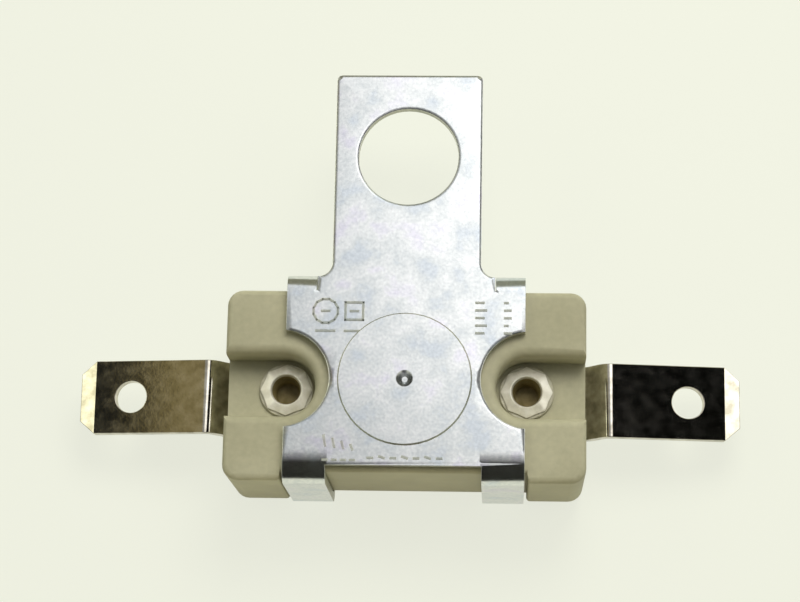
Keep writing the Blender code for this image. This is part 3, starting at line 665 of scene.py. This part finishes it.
def make_world():
    world = bpy.data.worlds.new("studio")
    world.use_nodes = True
    bpy.context.scene.world = world
    tree = world.node_tree
    way = add(tree, "ShaderNodeTexCoord").outputs["Generated"]
    split = add(tree, "ShaderNodeSeparateXYZ", {"Vector": way})
    east, north = split.outputs["X"], split.outputs["Y"]
    path = add(tree, "ShaderNodeLightPath")
    across = add(tree, "ShaderNodeMapRange", {"Value": east, 1: -1.0, 2: 1.0, 3: 0.0, 4: 1.0}).outputs[0]
    overhead = add(
        tree, "ShaderNodeValToRGB", {"Fac": across},
        stops=(
            (0.0, "4A4A3E"), (1.0, "4A4A3E"), (0.1, "55554A"), (0.14, "F0F0D6"), (0.215, "F0F0D6"),
            (0.25, "101315"), (0.307, "131618"), (0.312, "857B57"), (0.326, "5A523C"), (0.336, "80807A"),
            (0.43, "888A8E"), (0.455, "A0A2A6"), (0.478, "DCDCDC"), (0.5, "FFFFFF"), (0.588, "FFFFFF"),
            (0.61, "050606"), (0.735, "050606"), (0.765, "FFFFF8"), (0.86, "FFFFF8"), (0.9, "55554A"),
        ),
    )
    strip = add(
        tree, "ShaderNodeValToRGB", {"Fac": across},
        stops=((0.3, "000000"), (0.7, "000000"), (0.36, "FFFFFF"), (0.64, "FFFFFF")),
    )
    up = add(tree, "ShaderNodeMapRange", {"Value": north, 1: -STRIP_FADE, 2: STRIP_FADE, 3: 0.0, 4: 1.0})
    fade = add(
        tree, "ShaderNodeValToRGB", {"Fac": up.outputs[0]},
        stops=((0.27, "000000"), (0.82, "FFFFFF"), (0.4, "787878"), (0.73, "8C8C8C")),
    )
    share = add(tree, "ShaderNodeMix", {0: strip.outputs["Color"], 2: 1.0, 3: fade.outputs["Color"]})
    panel = add(
        tree, "ShaderNodeMix", {0: share.outputs[0], 6: linear(STRIP_DARK), 7: overhead.outputs["Color"]},
        data_type="RGBA",
    )
    front = add(
        tree, "ShaderNodeValToRGB", {"Fac": across},
        stops=((0.3, "9C9E92"), (0.7, "9C9E92"), (0.36, STRIP_DARK), (0.64, STRIP_DARK)),
    )
    room = add(
        tree, "ShaderNodeMix",
        {0: path.outputs["Is Glossy Ray"], 6: linear(ROOM_DARK), 7: front.outputs["Color"]},
        data_type="RGBA",
    )
    forward = add(
        tree, "ShaderNodeMapRange", {"Value": north, 1: FRONT_FROM, 2: FRONT_TO, 3: 0.0, 4: 1.0},
        interpolation_type="SMOOTHSTEP",
    )
    above = add(
        tree, "ShaderNodeMix", {0: forward.outputs[0], 6: room.outputs[2], 7: panel.outputs[2]},
        data_type="RGBA",
    )
    wall = add(
        tree, "ShaderNodeValToRGB", {"Fac": across},
        stops=((0.25, "B4B4A4"), (0.8, "B4B4A4"), (0.4, "4C4B3C"), (0.48, "5E5D4C"), (0.6, "8A8A78")),
    )
    back = add(
        tree, "ShaderNodeMapRange", {"Value": north, 1: BACK_FROM, 2: BACK_TO, 3: 0.0, 4: 1.0},
        interpolation_type="SMOOTHSTEP",
    )
    tone = add(
        tree, "ShaderNodeMix", {0: back.outputs[0], 6: above.outputs[2], 7: wall.outputs["Color"]},
        data_type="RGBA",
    )
    lit = add(tree, "ShaderNodeBackground", {"Color": tone.outputs[2], "Strength": WORLD_STRENGTH})
    shown = add(tree, "ShaderNodeBackground", {"Color": linear("F1F3E5"), "Strength": 1.0})
    mixed = add(
        tree, "ShaderNodeMixShader",
        {0: path.outputs["Is Camera Ray"], 1: lit.outputs[0], 2: shown.outputs[0]},
    )
    target = next(n for n in tree.nodes if n.bl_idname == "ShaderNodeOutputWorld")
    tree.links.new(mixed.outputs[0], target.inputs["Surface"])


make_world()


# Floor: a sheet of pale paper that glows a little, so that it stays as light as the background and still
# takes the part's shadow


def make_floor():
    material = bpy.data.materials.new("pale paper")
    material.use_nodes = True
    tree = material.node_tree
    shader = tree.nodes["Principled BSDF"]
    shader.inputs["Base Color"].default_value = linear("EDF0DC")
    shader.inputs["Roughness"].default_value = 0.9
    shader.inputs["Specular IOR Level"].default_value = 0.0
    glow = add(tree, "ShaderNodeEmission", {"Color": linear("F3F5E8"), "Strength": 1.0})
    path = add(tree, "ShaderNodeLightPath")
    mirrored = add(
        tree, "ShaderNodeMath", {0: path.outputs["Is Glossy Ray"], 1: FLOOR_MIRRORED}, operation="MULTIPLY"
    )
    seen = add(
        tree, "ShaderNodeMath", {0: path.outputs["Is Camera Ray"], 1: FLOOR_SEEN}, operation="MULTIPLY"
    )
    share = add(tree, "ShaderNodeMath", {0: seen.outputs[0], 1: mirrored.outputs[0]}, operation="MAXIMUM")
    mixed = add(tree, "ShaderNodeMixShader", {0: share.outputs[0], 1: shader.outputs[0], 2: glow.outputs[0]})
    target = next(n for n in tree.nodes if n.bl_idname == "ShaderNodeOutputMaterial")
    tree.links.new(mixed.outputs[0], target.inputs["Surface"])
    mesh = bpy.data.meshes.new("floor")
    corners = [(x * FLOOR_REACH, y * FLOOR_REACH, 0) for x, y in ((-1, -1), (1, -1), (1, 1), (-1, 1))]
    mesh.from_pydata(corners, [], [(0, 1, 2, 3)])
    mesh.materials.append(material)
    floor = bpy.data.objects.new("floor", mesh)
    floor.location.z = -FLOOR_DROP
    bpy.context.scene.collection.objects.link(floor)


make_floor()


# Lamps: a soft key from behind the tongue, and a warm fill from low in front


def make_lamp(name, place, size, power, colour):
    """A round soft lamp that faces the part. It lights the part, and the metal doesn't mirror it."""
    data = bpy.data.lights.new(name, "AREA")
    data.shape = "DISK"
    data.size = size
    data.energy = power
    data.color = linear(colour)[:3]
    lamp = bpy.data.objects.new(name, data)
    lamp.location = place
    lamp.rotation_mode = "QUATERNION"
    lamp.rotation_quaternion = Vector(place).to_track_quat("Z", "Y")
    lamp.visible_glossy = False
    bpy.context.scene.collection.objects.link(lamp)


make_lamp("key", place=(0.03, 0.08, 0.15), size=0.09, power=0.17, colour="FFFCF4")
make_lamp("fill", place=(0.0, -0.2, 0.04), size=0.16, power=0.11, colour="FFF2CC")

bpy.context.scene.view_settings.view_transform = "Standard"
